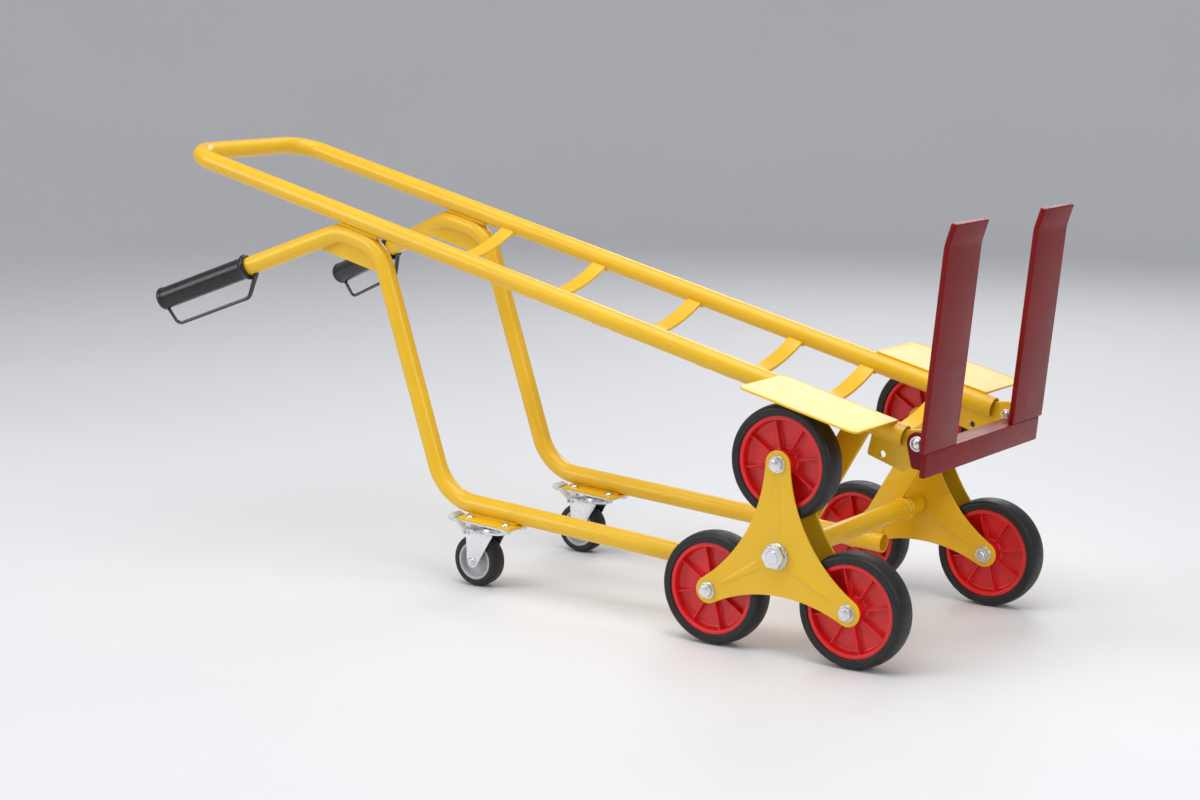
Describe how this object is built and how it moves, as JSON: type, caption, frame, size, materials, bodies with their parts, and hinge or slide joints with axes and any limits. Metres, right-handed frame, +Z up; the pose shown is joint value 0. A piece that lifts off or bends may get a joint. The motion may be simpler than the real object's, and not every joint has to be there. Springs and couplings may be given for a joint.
{
  "type": "stair climbing hand trolley",
  "caption": "Welded tubular hand trolley with bowed rungs, tri-wheel stair stars, swivel casters, splayed grips and a folding lifting fork.",
  "frame": {"origin": "on the floor below the middle of the bounding box, with the trolley standing on its casters and stars", "axes": "+X forward towards the lifting fork, +Y to the left, +Z up"},
  "size_m": [1.4205, 0.508, 0.6515],
  "materials": {
    "yellow_paint": "gloss powder coat on steel tube and sheet",
    "red_paint": "dark red gloss enamel on steel",
    "zinc": "bright zinc plate",
    "rim_plastic": "red moulded nylon",
    "tyre_rubber": "solid black rubber",
    "grip_rubber": "glossy black moulded grip",
    "guard_wire": "black coated steel wire",
    "pedal_plastic": "pale grey moulded pedal",
    "caster_plastic": "grey nylon wheel centre"
  },
  "bodies": {
    "frame": {"back_frame": "yellow_paint", "rung_1": "yellow_paint", "rung_2": "yellow_paint", "rung_3": "yellow_paint", "rung_4": "yellow_paint", "rung_5": "yellow_paint", "rung_6": "yellow_paint", "support_tube_left": "yellow_paint", "wheel_guard_left": "yellow_paint", "side_strut_left": "yellow_paint", "grip_left": "grip_rubber", "hand_guard_left": "guard_wire", "support_tube_right": "yellow_paint", "wheel_guard_right": "yellow_paint", "side_strut_right": "yellow_paint", "grip_right": "grip_rubber", "hand_guard_right": "guard_wire", "gussets": "yellow_paint", "fork_brackets": "yellow_paint", "axle_beam": "yellow_paint", "caster_pads": "yellow_paint", "main_axle": "zinc", "axle_nuts": "zinc", "fork_pivot_bolts": "zinc", "caster_top_plates": "zinc", "caster_bolts": "zinc"},
    "star_left": {"star_plate_outer_left": "yellow_paint", "star_plate_inner_left": "yellow_paint", "star_hub_left": "zinc", "wheel_bolts_left": "zinc"},
    "wheel_1_left": {"wheel_rim_1_left": "rim_plastic", "tyre_1_left": "tyre_rubber"},
    "wheel_2_left": {"wheel_rim_2_left": "rim_plastic", "tyre_2_left": "tyre_rubber"},
    "wheel_3_left": {"wheel_rim_3_left": "rim_plastic", "tyre_3_left": "tyre_rubber"},
    "caster_left": {"caster_fork_left": "zinc", "caster_axle_bolt_left": "zinc"},
    "caster_wheel_left": {"caster_hub_left": "caster_plastic", "caster_tyre_left": "tyre_rubber"},
    "brake_left": {"brake_pedal_left": "pedal_plastic"},
    "star_right": {"star_plate_outer_right": "yellow_paint", "star_plate_inner_right": "yellow_paint", "star_hub_right": "zinc", "wheel_bolts_right": "zinc"},
    "wheel_1_right": {"wheel_rim_1_right": "rim_plastic", "tyre_1_right": "tyre_rubber"},
    "wheel_2_right": {"wheel_rim_2_right": "rim_plastic", "tyre_2_right": "tyre_rubber"},
    "wheel_3_right": {"wheel_rim_3_right": "rim_plastic", "tyre_3_right": "tyre_rubber"},
    "caster_right": {"caster_fork_right": "zinc", "caster_axle_bolt_right": "zinc"},
    "caster_wheel_right": {"caster_hub_right": "caster_plastic", "caster_tyre_right": "tyre_rubber"},
    "brake_right": {"brake_pedal_right": "pedal_plastic"},
    "lifting_fork": {"tine_left": "red_paint", "tine_right": "red_paint", "fork_crossbar": "red_paint"}
  },
  "joints": [
    {"name": "star_spin_left", "type": "hinge", "parent": "frame", "child": "star_left", "pos_m": [0.4766, 0.2055, 0.14325], "axis": [0, 1, 0], "continuous": true},
    {"name": "wheel_spin_1_left", "type": "hinge", "parent": "star_left", "child": "wheel_1_left", "pos_m": [0.4766, 0.2055, 0.26975], "axis": [0, 1, 0], "continuous": true},
    {"name": "wheel_spin_2_left", "type": "hinge", "parent": "star_left", "child": "wheel_2_left", "pos_m": [0.58615, 0.2055, 0.08], "axis": [0, 1, 0], "continuous": true},
    {"name": "wheel_spin_3_left", "type": "hinge", "parent": "star_left", "child": "wheel_3_left", "pos_m": [0.36705, 0.2055, 0.08], "axis": [0, 1, 0], "continuous": true},
    {"name": "caster_swivel_left", "type": "hinge", "parent": "frame", "child": "caster_left", "pos_m": [-0.0726, 0.136, 0.09601], "axis": [0.0666, 0, 0.9978], "continuous": true},
    {"name": "caster_spin_left", "type": "hinge", "parent": "caster_left", "child": "caster_wheel_left", "pos_m": [-0.1044, 0.136, 0.04], "axis": [0, 1, 0], "continuous": true},
    {"name": "brake_press_left", "type": "hinge", "parent": "caster_left", "child": "brake_left", "pos_m": [-0.11148, 0.136, 0.08407], "axis": [0, -1, 0], "range_deg": [0, 7]},
    {"name": "star_spin_right", "type": "hinge", "parent": "frame", "child": "star_right", "pos_m": [0.4766, -0.2055, 0.14325], "axis": [0, 1, 0], "continuous": true},
    {"name": "wheel_spin_1_right", "type": "hinge", "parent": "star_right", "child": "wheel_1_right", "pos_m": [0.4766, -0.2055, 0.26975], "axis": [0, 1, 0], "continuous": true},
    {"name": "wheel_spin_2_right", "type": "hinge", "parent": "star_right", "child": "wheel_2_right", "pos_m": [0.58615, -0.2055, 0.08], "axis": [0, 1, 0], "continuous": true},
    {"name": "wheel_spin_3_right", "type": "hinge", "parent": "star_right", "child": "wheel_3_right", "pos_m": [0.36705, -0.2055, 0.08], "axis": [0, 1, 0], "continuous": true},
    {"name": "caster_swivel_right", "type": "hinge", "parent": "frame", "child": "caster_right", "pos_m": [-0.0726, -0.136, 0.09601], "axis": [0.0666, 0, 0.9978], "continuous": true},
    {"name": "caster_spin_right", "type": "hinge", "parent": "caster_right", "child": "caster_wheel_right", "pos_m": [-0.1044, -0.136, 0.04], "axis": [0, 1, 0], "continuous": true},
    {"name": "brake_press_right", "type": "hinge", "parent": "caster_right", "child": "brake_right", "pos_m": [-0.11148, -0.136, 0.08407], "axis": [0, -1, 0], "range_deg": [0, 7]},
    {"name": "fork_fold", "type": "hinge", "parent": "frame", "child": "lifting_fork", "pos_m": [0.64147, 0, 0.30229], "axis": [0, 1, 0], "range_deg": [-82, 35]}
  ]
}
